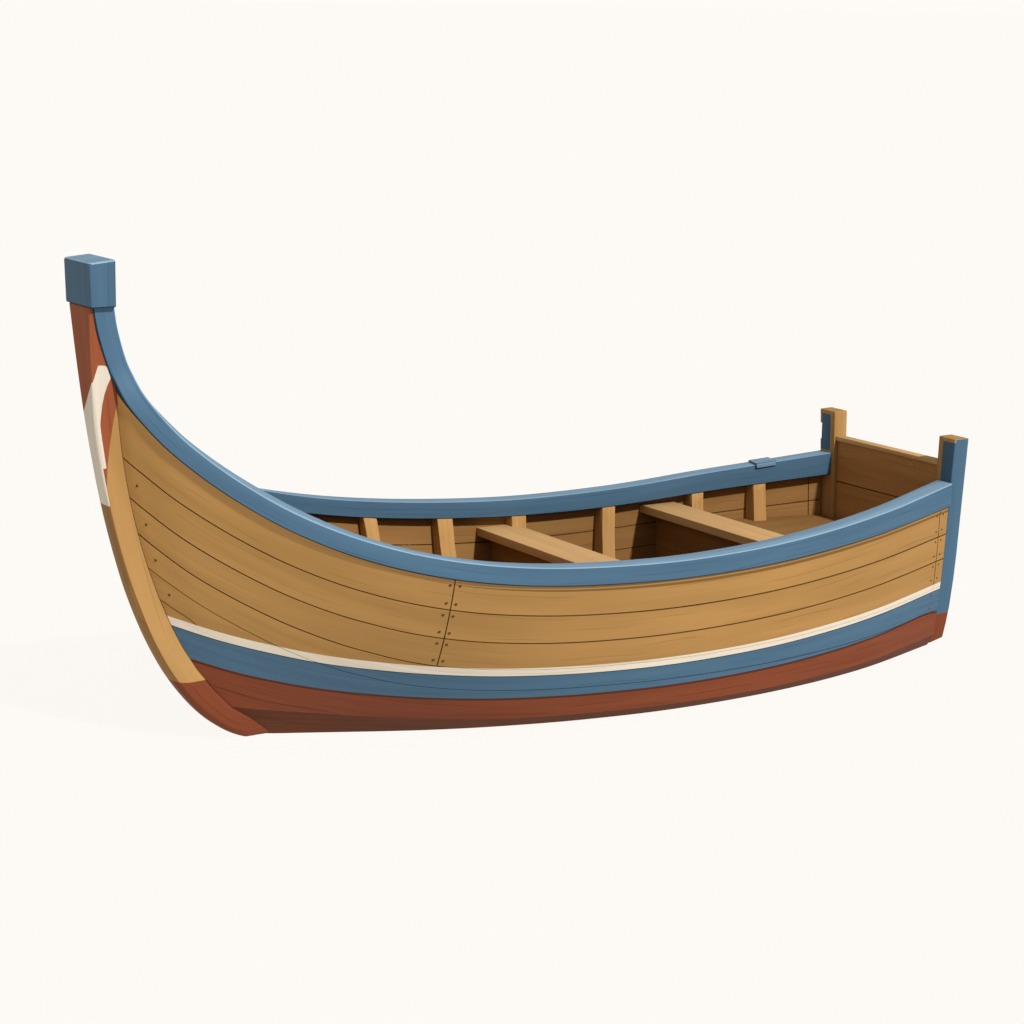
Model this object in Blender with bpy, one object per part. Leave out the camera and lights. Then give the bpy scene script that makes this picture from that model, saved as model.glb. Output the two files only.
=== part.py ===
"""Small open wooden fishing boat: planked sides on a flat bottom, tall stem and two stern posts.

Metres, +X towards the bow, +Y to port, +Z up. The origin is on the floor, under the middle of the
length. Stations are measured forward from the transom's aft face and moved to that origin at the end.
"""
import bpy
import bmesh
import numpy as np
from mathutils import Vector

# Driving sizes
LENGTH = 4.812
PLANK = 0.022
GAP = 0.0003
FRAME_DEPTH = 0.060
FRAME_DEEPER = 0.035
FRAME_FACE = PLANK + GAP + FRAME_DEPTH
DEEPEST_SHARE = 0.6
FLOOR_TOP = FRAME_FACE + FRAME_DEEPER
FLOOR_LOW = FLOOR_TOP + 2 * GAP
FLOOR_FORWARD = 3.460
FLOORBOARD = 0.018
POST_LENGTH = 0.090
POST_TOP = 1.155
THWART = 0.045
PLATFORM_TOP = 0.552
PLATFORM_BOARD = 0.022
PANEL = 0.022
TRANSOM_BOARD = 0.034
TRANSOM_AFT = 0.032
PLANK_AFT = POST_LENGTH + GAP
BOTTOM_MIDDLE = 0.130
WIDE = 1.2
BELOW = -0.1
ABOVE = 1.6

# Lines of the port side. Each row is one station from stern to stem:
# sheer x, y, z (top edge of the planking), chine x, y, z, edge of the flat bottom x, y
LINES = (
    (0.060, 0.516, 0.792, 0.060, 0.458, 0.068, 0.060, 0.412),
    (0.760, 0.689, 0.737, 0.740, 0.655, 0.050, 0.740, 0.610),
    (1.405, 0.767, 0.697, 1.380, 0.745, 0.045, 1.380, 0.695),
    (2.010, 0.813, 0.697, 2.000, 0.740, 0.045, 2.000, 0.685),
    (2.560, 0.849, 0.732, 2.520, 0.665, 0.050, 2.500, 0.605),
    (3.045, 0.872, 0.791, 2.950, 0.560, 0.060, 2.900, 0.495),
    (3.462, 0.866, 0.875, 3.280, 0.440, 0.080, 3.200, 0.385),
    (3.813, 0.797, 0.980, 3.530, 0.330, 0.100, 3.420, 0.285),
    (4.100, 0.668, 1.109, 3.730, 0.235, 0.120, 3.580, 0.205),
    (4.332, 0.506, 1.263, 3.880, 0.165, 0.135, 3.700, 0.145),
    (4.518, 0.325, 1.437, 4.010, 0.105, 0.150, 3.800, 0.095),
    (4.633, 0.143, 1.612, 4.105, 0.060, 0.164, 3.880, 0.055),
    (4.682, 0.030, 1.735, 4.165, 0.020, 0.175, 3.940, 0.020),
)
RAIL_RISE = ((4.685, 0.071, 1.740), (4.721, 0.067, 1.830), (4.763, 0.084, 1.955), (4.786, 0.095, 2.058))
# How far the side stands off the straight line from sheer to chine, halfway down: station, x, y, z
BULGE = ((0, 0.0, 0.008, 0.0), (2, 0.0, 0.020, 0.0), (5, 0.0, 0.030, 0.0), (7, 0.02, 0.020, -0.02),
         (9, 0.06, 0.010, -0.06), (12, 0.098, 0.000, -0.135))
# Seams as a share of the way from sheer to chine, at every station: first, second, third, fourth
SEAMS = (
    (0.211, 0.400, 0.616, 0.800), (0.211, 0.401, 0.618, 0.795), (0.214, 0.409, 0.622, 0.790),
    (0.219, 0.418, 0.624, 0.785), (0.219, 0.421, 0.623, 0.780), (0.211, 0.412, 0.613, 0.771),
    (0.194, 0.387, 0.585, 0.749), (0.174, 0.349, 0.530, 0.702), (0.153, 0.307, 0.464, 0.627),
    (0.141, 0.276, 0.413, 0.551), (0.139, 0.260, 0.380, 0.497), (0.149, 0.257, 0.362, 0.467),
    (0.162, 0.258, 0.350, 0.447),
)
STATIONS = [i * 0.5 for i in range(2 * (len(LINES) - 1) + 1)]
# The stations that hold the frames and the floor, how far above the sheer their clear space reaches, and
# the least step from the floor's corner to a frame's foot
FRAMED = STATIONS[:18]
SPACE_RISE = 0.5
CORNER = 0.004

# Rail: place counted in rows of LINES, height, width, how far it stands proud of the planks
RAIL_SIZES = ((0, 0.126, 0.104, 0.016), (0.7, 0.112, 0.104, 0.017), (1.5, 0.103, 0.104, 0.018),
              (3, 0.093, 0.104, 0.018), (4.5, 0.089, 0.104, 0.018), (6.5, 0.085, 0.104, 0.018),
              (8.5, 0.083, 0.097, 0.018), (10, 0.083, 0.070, 0.018), (11.5, 0.091, 0.059, 0.018),
              (13, 0.094, 0.058, 0.018), (15, 0.101, 0.055, 0.018))
RAIL_STRAIGHTENS = (8.0, 12.0)
# Stern posts: z and y of the outer aft edge, half widths inside at the floor and at the top, and the foot's
# height at its forward and aft edges
POST_OUTER = ((0.0, 0.442), (0.12, 0.463), (0.22, 0.482), (0.38, 0.502), (0.51, 0.513), (0.65, 0.522),
              (0.79, 0.531), (0.93, 0.540), (POST_TOP, 0.554))
POST = dict(inner_low=0.385, inner_high=0.420, narrows=0.008, foot_fore=0.010, foot_aft=0.034)
CHIP = dict(deep=0.050, inner=0.528, low=0.985, high=1.075)
TRANSOM_SEAMS = (0.0, 0.380, 0.757, 0.990)
TRANSOM_CAP = dict(aft=0.020, forward=0.080, top=1.015)
BREASTHOOK = dict(aft=4.300, forward=4.460, low=1.130, high=1.170)
PLATFORM_BEAM = dict(aft=0.600, forward=0.640, height=0.060)
PLATFORM_MIDDLE = 0.150
BOARD_GAP = 0.002
# Patch over the starboard rail: from the stern, off the rail's outer face, thickness, depth of its lip
PATCH = dict(aft=0.400, forward=0.520, inset=0.006, thick=0.010, lip=0.018, clear=0.0006)

# Stem, from the head down and aft along the bottom: front x, z, depth, half width of the nose, depth of its
# bevelled edges, half width behind them, half width at the back
STEM = (
    (4.803, 2.066, 0.102, 0.104, 0.004, 0.109, 0.086),
    (4.785, 1.780, 0.128, 0.072, 0.004, 0.077, 0.070),
    (4.758, 1.499, 0.160, 0.047, 0.006, 0.053, 0.064),
    (4.706, 1.190, 0.180, 0.042, 0.004, 0.050, 0.056),
    (4.646, 0.930, 0.180, 0.038, 0.006, 0.052, 0.053),
    (4.581, 0.713, 0.180, 0.034, 0.012, 0.055, 0.049),
    (4.493, 0.497, 0.185, 0.030, 0.013, 0.058, 0.041),
    (4.387, 0.309, 0.190, 0.028, 0.017, 0.058, 0.040),
    (4.250, 0.141, 0.200, 0.026, 0.021, 0.056, 0.047),
    (4.108, 0.034, 0.200, 0.024, 0.019, 0.052, 0.056),
    (3.962, -0.012, 0.180, 0.030, 0.020, 0.046, 0.065),
    (3.780, 0.000, 0.140, 0.040, 0.005, 0.045, 0.050),
)
HEAD = dict(aft=4.686, front=LENGTH, half=0.139, low=STEM[0][1] + GAP, high=2.273, falls=0.011, round=0.016,
            lean=0.006)

# Frames: name, aft face, forward face
FRAMES = (("frame_1", 0.476, 0.548), ("frame_2", 0.853, 0.924), ("frame_3", 1.410, 1.488),
          ("frame_4", 1.966, 2.051), ("frame_5", 2.410, 2.499), ("frame_6", 2.854, 2.931),
          ("frame_7", 3.300, 3.378))
# Thwarts and the panels that carry them: number, aft edge, forward edge, top, aft face of the panel
THWARTS = ((1, 2.000, 2.230, 0.645, 2.126), (2, 1.000, 1.210, 0.680, 1.077))
PANEL_MIDSHIP = THWARTS[1][4]
FLOOR_RUNS = ((-0.300, -0.102), (-0.098, 0.098), (0.102, 0.300))

PAINTS = {
    "blue": ((0.29, 0.42, 0.53), 0.55), "planking": ((0.67, 0.50, 0.29), 0.65),
    "bare wood": ((0.72, 0.55, 0.34), 0.70), "shaded wood": ((0.50, 0.35, 0.19), 0.75),
    "red": ((0.50, 0.25, 0.16), 0.60),
}


def clear_scene():
    for old in list(bpy.data.objects):
        bpy.data.objects.remove(old, do_unlink=True)


def collection(name):
    group = bpy.data.collections.new(name)
    bpy.context.scene.collection.children.link(group)
    return group


def paint(name, colour_name):
    colour, roughness = PAINTS[colour_name]
    material = bpy.data.materials.new(name)
    material.use_nodes = True
    shader = material.node_tree.nodes["Principled BSDF"]
    shader.inputs["Base Color"].default_value = (*colour, 1.0)
    shader.inputs["Roughness"].default_value = roughness
    shader.inputs["Metallic"].default_value = 0.0
    return material


def along(rows, place):
    """Smooth curve through the rows, read at a place counted in rows."""
    rows = np.asarray(rows, float)
    last = len(rows) - 1
    low = int(min(max(np.floor(place), 0), last - 1))
    share = place - low
    before, after = rows[max(low - 1, 0)], rows[min(low + 2, last)]
    start, end = rows[low], rows[low + 1]
    leave = (end - before) / (2 if low > 0 else 1)
    arrive = (after - start) / (2 if low + 2 <= last else 1)
    s2, s3 = share ** 2, share ** 3
    return ((2 * s3 - 3 * s2 + 1) * start + (s3 - 2 * s2 + share) * leave
            + (3 * s2 - 2 * s3) * end + (s3 - s2) * arrive)


def at_station(table, place):
    keys = [row[0] for row in table]
    return np.array([np.interp(place, keys, [row[c] for row in table]) for c in range(1, len(table[0]))])


def side_point(place, share):
    """Point of the planking's outer face: share 0 is the sheer, 1 the chine, 2 the bottom's edge."""
    row = along(LINES, place)
    sheer, chine, edge = row[0:3], row[3:6], np.array((row[6], row[7], 0.0))
    if share > 1:
        return chine + (edge - chine) * (share - 1)
    middle = (sheer + chine) / 2 + at_station(BULGE, place)
    return (sheer * (1 - share) * (1 - 2 * share) + middle * 4 * share * (1 - share)
            + chine * share * (2 * share - 1))


def side_normal(place, share):
    step = 0.02
    low, high = max(place - step, 0), min(place + step, len(LINES) - 1)
    lower_limit = 1 if share > 1 else 0
    up, down = max(share - step, lower_limit), min(share + step, 2 if share > 1 else 1)
    forward = side_point(high, share) - side_point(low, share)
    drop = side_point(place, down) - side_point(place, up)
    normal = np.cross(forward, drop)
    return normal / np.linalg.norm(normal)


def inner_point(place, share, depth):
    """The same point moved inboard by depth. Top edges stay level and the bottom stays flat."""
    outer = side_point(place, share)
    if share == 0:
        normal = side_normal(place, 0)
        level = np.array((normal[0], normal[1], 0.0))
        level /= np.linalg.norm(level)
        return outer - level * depth / np.dot(level, normal)
    if share == 1:
        normal = side_normal(place, 1) + side_normal(place, 1.5)
        normal /= np.linalg.norm(normal)
        return outer - normal * depth / np.dot(normal, side_normal(place, 1))
    if share == 2:
        normal = side_normal(place, 2)
        level = np.array((normal[0], normal[1], 0.0))
        level /= np.linalg.norm(level)
        return outer + np.array((0, 0, depth)) - level * depth * 0.45
    return outer - side_normal(place, share) * depth


def shares(place):
    return [0.0, *along(SEAMS, place), 1.0, 2.0]


def mesh_object(name, shape, group, material=None):
    bmesh.ops.recalc_face_normals(shape, faces=shape.faces)
    mesh = bpy.data.meshes.new(name)
    shape.to_mesh(mesh)
    shape.free()
    made = bpy.data.objects.new(name, mesh)
    group.objects.link(made)
    if material:
        mesh.materials.append(material)
    return made


def loft(rings, mirrored_from=None):
    """Closed solid through rings with the same number of points.

    Each patch is cut along the diagonal that drops towards the bow, so that a mesh inside another
    follows it exactly. From mirrored_from on, a ring runs upwards, and the diagonal is the other one.
    """
    shape = bmesh.new()
    rows = [[shape.verts.new(Vector(point)) for point in ring] for ring in rings]
    for one, two in zip(rows, rows[1:]):
        for k in range(len(one)):
            following = (k + 1) % len(one)
            if mirrored_from is None or k < mirrored_from:
                shape.faces.new((one[k], two[k], two[following]))
                shape.faces.new((one[k], two[following], one[following]))
            else:
                shape.faces.new((one[k], two[k], one[following]))
                shape.faces.new((one[following], two[k], two[following]))
    for ring in (rows[0], rows[-1]):
        shape.faces.new(ring)
    return shape


def box(low, high):
    shape = bmesh.new()
    bmesh.ops.create_cube(shape, size=1.0)
    for vert in shape.verts:
        vert.co = Vector([low[i] + (vert.co[i] + 0.5) * (high[i] - low[i]) for i in range(3)])
    return shape


def mirrored(shape):
    for vert in shape.verts:
        vert.co.y = -vert.co.y
    return shape


def cut(target, cutter, operation):
    modifier = target.modifiers.new(cutter.name, "BOOLEAN")
    modifier.operation = operation
    modifier.object = cutter
    modifier.solver = "EXACT"


def cutter_object(name, shape):
    made = mesh_object(name, shape, CUTTERS)
    made.hide_render = True
    made.display_type = "WIRE"
    return made


def hull_space(stations, depth, deeper=0.0, rise=0.0):
    """The space inside the planking, depth in from its outer face and deeper below, as a closed solid."""
    rings = []
    for place in stations:
        port = []
        for share in shares(place):
            port.append(inner_point(place, share, depth + deeper * min(share / DEEPEST_SHARE, 1)))
        if deeper:
            chine, edge = port[-2], port[-1]
            port[-2] = np.maximum(chine, (chine[0], edge[1] + CORNER, edge[2] + CORNER))
        if rise:
            port.insert(0, port[0] + np.array((0, 0, rise)))
        port = [(p[0], max(p[1], 0.004), p[2]) for p in port]
        rings.append(port + [(x, -y, z) for x, y, z in reversed(port)])
    return loft(rings, mirrored_from=len(port))


def stem_shape(grow=0.0):
    rings = []
    count = 2 * (len(STEM) - 1)
    for step in range(count + 1):
        x, z, depth, front, bevel, half, back = along(STEM, step / 2)
        ahead, behind = along(STEM, min(step / 2 + 0.05, len(STEM) - 1)), along(STEM, max(step / 2 - 0.05, 0))
        run = np.array((ahead[0] - behind[0], ahead[1] - behind[1]))
        run /= np.linalg.norm(run)
        inward = np.array((run[1], -run[0]))
        if step >= count - 2:
            inward = np.array((0.0, 1.0))
        if step <= 1:
            inward = np.array((-1.0, 0.0))
        nose = np.array((x, max(z, 0))) - inward * grow
        edge = np.array((x, max(z, 0))) + inward * bevel
        tail = np.array((x, max(z, 0))) + inward * (depth + grow)
        front, half, back = front + grow, half + grow, back + grow
        rings.append([(nose[0], front, nose[1]), (edge[0], half, edge[1]), (tail[0], back, tail[1]),
                      (tail[0], -back, tail[1]), (edge[0], -half, edge[1]), (nose[0], -front, nose[1])])
    rings[0] = [(px, py, pz + grow) for px, py, pz in rings[0]]
    return loft(rings)


def strakes(stem_cutter, aft_cutter, rail_cutters):
    names = ("strake_1", "strake_2", "strake_3", "strake_4", "strake_5", "bilge_strake")
    for number, name in enumerate(names):
        for side in ("port", "starboard"):
            rings = []
            for place in STATIONS:
                edges = shares(place)
                top, bottom = edges[number], edges[number + 1]
                outer_top, outer_bottom = side_point(place, top), side_point(place, bottom)
                inner_top, inner_bottom = inner_point(place, top, PLANK), inner_point(place, bottom, PLANK)
                girth = np.linalg.norm(outer_bottom - outer_top)
                slip = GAP / 2 / girth if girth else 0.0
                rings.append([inner_top + (inner_bottom - inner_top) * slip,
                              inner_bottom - (inner_bottom - inner_top) * slip,
                              outer_bottom - (outer_bottom - outer_top) * slip,
                              outer_top + (outer_bottom - outer_top) * slip])
            shape = loft(rings, mirrored_from=2)
            if side == "starboard":
                shape = mirrored(shape)
            colour = "red" if number == 5 else "planking"
            made = mesh_object(f"{name}_{side}", shape, BOAT, paint(f"{name} {side}", colour))
            cut(made, stem_cutter, "DIFFERENCE")
            cut(made, aft_cutter, "DIFFERENCE")
            if number == 0:
                cut(made, rail_cutters[side], "DIFFERENCE")


def bottom_planks(stem_cutter, aft_cutter):
    """Flat bottom in three runs: a middle plank and one to each side of it."""
    edge = [inner_point(place, 2, 0.0) for place in STATIONS]
    inner = [inner_point(place, 2, PLANK) for place in STATIONS]
    for side, flip in (("port", 1), ("starboard", -1)):
        last = max(i for i, p in enumerate(edge) if p[1] > BOTTOM_MIDDLE + 0.02)
        rings = []
        seam = (BOTTOM_MIDDLE + GAP) * flip
        for out, inn in list(zip(edge, inner))[:last + 1]:
            rings.append([(inn[0], seam, PLANK), (inn[0], (inn[1] - GAP) * flip, PLANK),
                          (out[0], (out[1] - GAP) * flip, 0.0), (out[0], seam, 0.0)])
        made = mesh_object(f"bottom_plank_{side}", loft(rings), BOAT, paint(f"bottom {side}", "red"))
        cut(made, aft_cutter, "DIFFERENCE")
    rings = []
    for out, inn in zip(edge, inner):
        wide, wide_in = min(out[1] - GAP, BOTTOM_MIDDLE), min(inn[1] - GAP, BOTTOM_MIDDLE)
        if wide_in > 0.01:
            rings.append([(inn[0], -wide_in, PLANK), (inn[0], wide_in, PLANK), (out[0], wide, 0.0),
                          (out[0], -wide, 0.0)])
    shape = loft(rings, mirrored_from=3)
    made = mesh_object("bottom_plank_middle", shape, BOAT, paint("bottom middle", "red"))
    cut(made, stem_cutter, "DIFFERENCE")
    cut(made, aft_cutter, "DIFFERENCE")


def rail_frames():
    """Where the rail runs: the sheer, its outward and upward directions, its height, width and proud edge."""
    rows = [row[0:3] for row in LINES[:12]] + list(RAIL_RISE)
    frames = []
    count = 2 * (len(rows) - 1)
    for step in range(count + 1):
        place = step / 2
        ahead, behind = along(rows, min(place + 0.1, len(rows) - 1)), along(rows, max(place - 0.1, 0))
        run = (ahead - behind) / np.linalg.norm(ahead - behind)
        outward = np.array((-run[1], run[0], 0.0))
        outward /= np.linalg.norm(outward)
        straight = np.interp(place, RAIL_STRAIGHTENS, (0.0, 1.0))
        outward = outward * (1 - straight) + np.array((0.0, 1.0, 0.0)) * straight
        outward /= np.linalg.norm(outward)
        upward = np.cross(run, outward)
        upward /= np.linalg.norm(upward)
        frames.append((along(rows, place), outward, upward, *at_station(RAIL_SIZES, place)))
    return frames


def rail_shape(side, lift, spread=0.0):
    """The rail on one side, with its foot lifted off the sheer, and wider by spread on both faces."""
    rings = []
    for foot, outward, upward, height, width, proud in rail_frames():
        outer = foot + outward * (proud + spread) + upward * lift
        inner = outer - outward * (width + 2 * spread)
        if inner[1] < GAP:
            inner = outer - outward * (outer[1] - GAP) / outward[1]
        rise = upward * (height - lift)
        top_inner = inner + rise
        top_inner[1] = max(top_inner[1], GAP)
        rings.append([outer, outer + rise, top_inner, inner])
    rings[-1] = [np.array((p[0], p[1], HEAD["low"] - GAP)) for p in rings[-1]]
    return loft(rings) if side == "port" else mirrored(loft(rings))


def gunwales(stem_cutter, aft_cutter):
    for side in ("port", "starboard"):
        shape = rail_shape(side, GAP)
        made = mesh_object(f"gunwale_{side}", shape, BOAT, paint(f"gunwale {side}", "blue"))
        cut(made, stem_cutter, "DIFFERENCE")
        cut(made, aft_cutter, "DIFFERENCE")


def rail_patch():
    """Thin board bent over the starboard rail's top and inner corner."""
    clear, thick = PATCH["clear"], PATCH["thick"]
    sections = []
    for foot, outward, upward, height, width, proud in rail_frames()[:3]:
        near, low = PATCH["inset"], height - PATCH["lip"]
        corners = ((near, height + clear), (near, height + thick), (width + thick, height + thick),
                   (width + thick, low), (width + clear, low), (width + clear, height + clear))
        outer = foot + outward * proud
        sections.append(np.array([outer - outward * across + upward * up for across, up in corners]))
    rings = [sections[1]]
    for x, pair, spot in ((PATCH["aft"], (0, 1), 0), (PATCH["forward"], (1, 2), 2)):
        one, two = sections[pair[0]], sections[pair[1]]
        share = (x - one[0][0]) / (two[0][0] - one[0][0])
        rings.insert(spot, one + (two - one) * share)
    mesh_object("rail_patch", mirrored(loft(rings)), BOAT, paint("rail patch", "bare wood"))


def post_inside(z):
    return np.interp(z, (0.0, POST_TOP), (POST["inner_low"], POST["inner_high"]))


def post_ring(z, outer, flip):
    """Section of a stern post, which leans out with the boat's side and is cut on a slope at its foot."""
    aft, fore = max(z, POST["foot_aft"]), max(z, POST["foot_fore"])
    return [(0.0, outer * flip, aft), (POST_LENGTH, (outer - POST["narrows"]) * flip, fore),
            (POST_LENGTH, post_inside(fore) * flip, fore), (0.0, post_inside(aft) * flip, aft)]


def stern_posts():
    chip = box((POST_LENGTH - CHIP["deep"], -WIDE, CHIP["low"]),
               (POST_LENGTH + CHIP["deep"], -CHIP["inner"], CHIP["high"]))
    chip_cutter = cutter_object("post_chip", chip)
    for side, flip in (("port", 1), ("starboard", -1)):
        shape = loft([post_ring(z, outer, flip) for z, outer in POST_OUTER])
        made = mesh_object(f"stern_post_{side}", shape, BOAT, paint(f"post {side}", "blue"))
        if side == "starboard":
            cut(made, chip_cutter, "DIFFERENCE")


def transom():
    for number, (seam, high) in enumerate(zip(TRANSOM_SEAMS, TRANSOM_SEAMS[1:]), 1):
        low = seam + GAP if number > 1 else seam
        rings = []
        for z in (low, high):
            half = post_inside(z) - GAP
            rings.append([(TRANSOM_AFT, -half, z), (TRANSOM_AFT, half, z),
                          (TRANSOM_AFT + TRANSOM_BOARD, half, z), (TRANSOM_AFT + TRANSOM_BOARD, -half, z)])
        mesh_object(f"transom_board_{number}", loft(rings), BOAT, paint(f"transom {number}", "shaded wood"))
    seat = TRANSOM_SEAMS[-1]
    half = post_inside(seat) - GAP
    cap = box((TRANSOM_CAP["aft"], -half, seat + GAP), (TRANSOM_CAP["forward"], half, TRANSOM_CAP["top"]))
    mesh_object("transom_cap", cap, BOAT, paint("transom cap", "bare wood"))


def frames(outer_space, inner_space, rail_cutters):
    for name, aft, forward in FRAMES:
        slab = box((aft, -WIDE, BELOW), (forward, WIDE, ABOVE))
        made = mesh_object(name, slab, BOAT, paint(name, "bare wood"))
        cut(made, outer_space, "INTERSECT")
        cut(made, inner_space, "DIFFERENCE")
        for side in ("port", "starboard"):
            cut(made, rail_cutters[side], "DIFFERENCE")


def frame_slots(inner_space):
    """Cutters that clear a frame's sides in whatever meets it."""
    slots = {}
    for name, aft, forward in FRAMES:
        slot = cutter_object(f"{name}_slot", box((aft - GAP, -WIDE, BELOW), (forward + GAP, WIDE, ABOVE)))
        cut(slot, inner_space, "DIFFERENCE")
        slots[name] = slot
    return slots


def seats(outer_space, slots):
    for number, aft, forward, top, panel in THWARTS:
        board = box((aft, -WIDE, top - THWART), (forward, WIDE, top))
        made = mesh_object(f"thwart_{number}", board, BOAT, paint(f"thwart {number}", "bare wood"))
        cut(made, outer_space, "INTERSECT")
        if number == 1:
            cut(made, slots["frame_4"], "DIFFERENCE")
        low = FLOOR_LOW + FLOORBOARD + GAP
        board = box((panel, -WIDE, low), (panel + PANEL, WIDE, top - THWART - GAP))
        made = mesh_object(f"panel_{number}", board, BOAT, paint(f"panel {number}", "shaded wood"))
        cut(made, outer_space, "INTERSECT")


def floor(clear_space):
    for number, (low, high) in enumerate(FLOOR_RUNS, 1):
        board = box((PANEL_MIDSHIP, low, FLOOR_LOW), (FLOOR_FORWARD, high, FLOOR_LOW + FLOORBOARD))
        made = mesh_object(f"floorboard_{number}", board, BOAT, paint(f"floorboard {number}", "shaded wood"))
        cut(made, clear_space, "INTERSECT")


def stern_platform(outer_space, slots):
    forward = PANEL_MIDSHIP - GAP
    aft = TRANSOM_AFT + TRANSOM_BOARD + GAP
    low = PLATFORM_TOP - PLATFORM_BOARD
    beam = box((PLATFORM_BEAM["aft"], -WIDE, low - PLATFORM_BEAM["height"]),
               (PLATFORM_BEAM["forward"], WIDE, low - GAP))
    made = mesh_object("platform_beam", beam, BOAT, paint("platform beam", "shaded wood"))
    cut(made, outer_space, "INTERSECT")
    edge = PLATFORM_MIDDLE + BOARD_GAP
    runs = (("port", edge, WIDE), ("middle", -PLATFORM_MIDDLE, PLATFORM_MIDDLE), ("starboard", -WIDE, -edge))
    for side, right, left in runs:
        start = aft if side == "middle" else PLANK_AFT
        board = box((start, right, low), (forward, left, PLATFORM_TOP))
        made = mesh_object(f"platform_board_{side}", board, BOAT, paint(f"platform {side}", "shaded wood"))
        if side != "middle":
            cut(made, outer_space, "INTERSECT")
            cut(made, slots["frame_1"], "DIFFERENCE")
            cut(made, slots["frame_2"], "DIFFERENCE")


def breasthook(outer_space):
    shape = box((BREASTHOOK["aft"], -WIDE, BREASTHOOK["low"]),
                (BREASTHOOK["forward"], WIDE, BREASTHOOK["high"]))
    made = mesh_object("breasthook", shape, BOAT, paint("breasthook", "bare wood"))
    cut(made, outer_space, "INTERSECT")


def stem():
    mesh_object("stem", stem_shape(), BOAT, paint("stem", "planking"))
    shape = box((HEAD["aft"], -HEAD["half"], HEAD["low"]), (HEAD["front"], HEAD["half"], HEAD["high"]))
    for vert in shape.verts:
        if vert.co.x > HEAD["aft"]:
            vert.co.x -= HEAD["lean"] * (HEAD["high"] - vert.co.z) / (HEAD["high"] - HEAD["low"])
            if vert.co.z > HEAD["low"] + GAP:
                vert.co.z -= HEAD["falls"]
    bmesh.ops.bevel(shape, geom=list(shape.edges), offset=HEAD["round"], segments=3, profile=0.5,
                    affect="EDGES")
    mesh_object("stem_head", shape, BOAT, paint("stem head", "blue"))


def place_at_origin():
    for made in list(BOAT.objects) + list(CUTTERS.objects):
        for vert in made.data.vertices:
            vert.co.x -= LENGTH / 2


clear_scene()
BOAT = collection("coble")
CUTTERS = collection("cutters")

stem_gap = cutter_object("stem_gap", stem_shape(GAP))
aft_gap = cutter_object("aft_gap", box((BELOW, -WIDE, BELOW), (PLANK_AFT, WIDE, ABOVE)))
space_outer = cutter_object("space_outer", hull_space(STATIONS[:-3], PLANK + GAP))
space_inner = cutter_object("space_inner", hull_space(FRAMED, FRAME_FACE, FRAME_DEEPER, SPACE_RISE))
space_slots = cutter_object("space_slots", hull_space(FRAMED, FRAME_FACE + GAP, FRAME_DEEPER, SPACE_RISE))
frame_gaps = frame_slots(space_slots)
rail_gaps = {}
for side in ("port", "starboard"):
    rail_gaps[side] = cutter_object(f"rail_gap_{side}", rail_shape(side, 0.0, GAP))

stem()
strakes(stem_gap, aft_gap, rail_gaps)
bottom_planks(stem_gap, aft_gap)
gunwales(stem_gap, aft_gap)
rail_patch()
stern_posts()
transom()
frames(space_outer, space_inner, rail_gaps)
seats(space_outer, frame_gaps)
floor(space_slots)
stern_platform(space_outer, frame_gaps)
breasthook(space_outer)
place_at_origin()
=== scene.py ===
"""Looks of a small open wooden coble: timber, paint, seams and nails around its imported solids.

Metres, +X towards the bow, +Y to port, +Z up, origin on the floor under the middle of the length.
Stations of the hull are measured from the transom's aft face, and STERN moves them to that origin.
"""
import math
import bmesh
import bpy
import numpy as np
from mathutils import Matrix, Vector
from mathutils.bvhtree import BVHTree


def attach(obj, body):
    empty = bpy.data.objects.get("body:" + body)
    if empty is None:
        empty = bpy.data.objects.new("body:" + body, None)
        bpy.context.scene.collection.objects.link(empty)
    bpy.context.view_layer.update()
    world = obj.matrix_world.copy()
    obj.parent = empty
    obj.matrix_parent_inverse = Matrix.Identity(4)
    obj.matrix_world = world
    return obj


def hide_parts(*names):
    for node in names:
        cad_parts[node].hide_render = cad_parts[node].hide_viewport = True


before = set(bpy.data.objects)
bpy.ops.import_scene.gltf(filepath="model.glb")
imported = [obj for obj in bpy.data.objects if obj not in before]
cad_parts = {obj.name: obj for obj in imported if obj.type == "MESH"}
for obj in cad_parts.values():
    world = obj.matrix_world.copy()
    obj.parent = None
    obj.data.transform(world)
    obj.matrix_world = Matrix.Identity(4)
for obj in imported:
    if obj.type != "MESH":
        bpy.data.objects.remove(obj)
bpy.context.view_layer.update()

# Sizes that the solids have too
STERN = -2.406
PLANK = 0.022
GAP = 0.0003
POST_LENGTH = 0.090
PLANK_AFT = POST_LENGTH + GAP
HEAD_LOW = 2.066 + GAP

# Port side at each station: sheer x, y, z, chine x, y, z, edge of the flat bottom x, y
LINES = (
    (0.060, 0.516, 0.792, 0.060, 0.458, 0.068, 0.060, 0.412),
    (0.760, 0.689, 0.737, 0.740, 0.655, 0.050, 0.740, 0.610),
    (1.405, 0.767, 0.697, 1.380, 0.745, 0.045, 1.380, 0.695),
    (2.010, 0.813, 0.697, 2.000, 0.740, 0.045, 2.000, 0.685),
    (2.560, 0.849, 0.732, 2.520, 0.665, 0.050, 2.500, 0.605),
    (3.045, 0.872, 0.791, 2.950, 0.560, 0.060, 2.900, 0.495),
    (3.462, 0.866, 0.875, 3.280, 0.440, 0.080, 3.200, 0.385),
    (3.813, 0.797, 0.980, 3.530, 0.330, 0.100, 3.420, 0.285),
    (4.100, 0.668, 1.109, 3.730, 0.235, 0.120, 3.580, 0.205),
    (4.332, 0.506, 1.263, 3.880, 0.165, 0.135, 3.700, 0.145),
    (4.518, 0.325, 1.437, 4.010, 0.105, 0.150, 3.800, 0.095),
    (4.633, 0.143, 1.612, 4.105, 0.060, 0.164, 3.880, 0.055),
    (4.682, 0.030, 1.735, 4.165, 0.020, 0.175, 3.940, 0.020),
)
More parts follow.
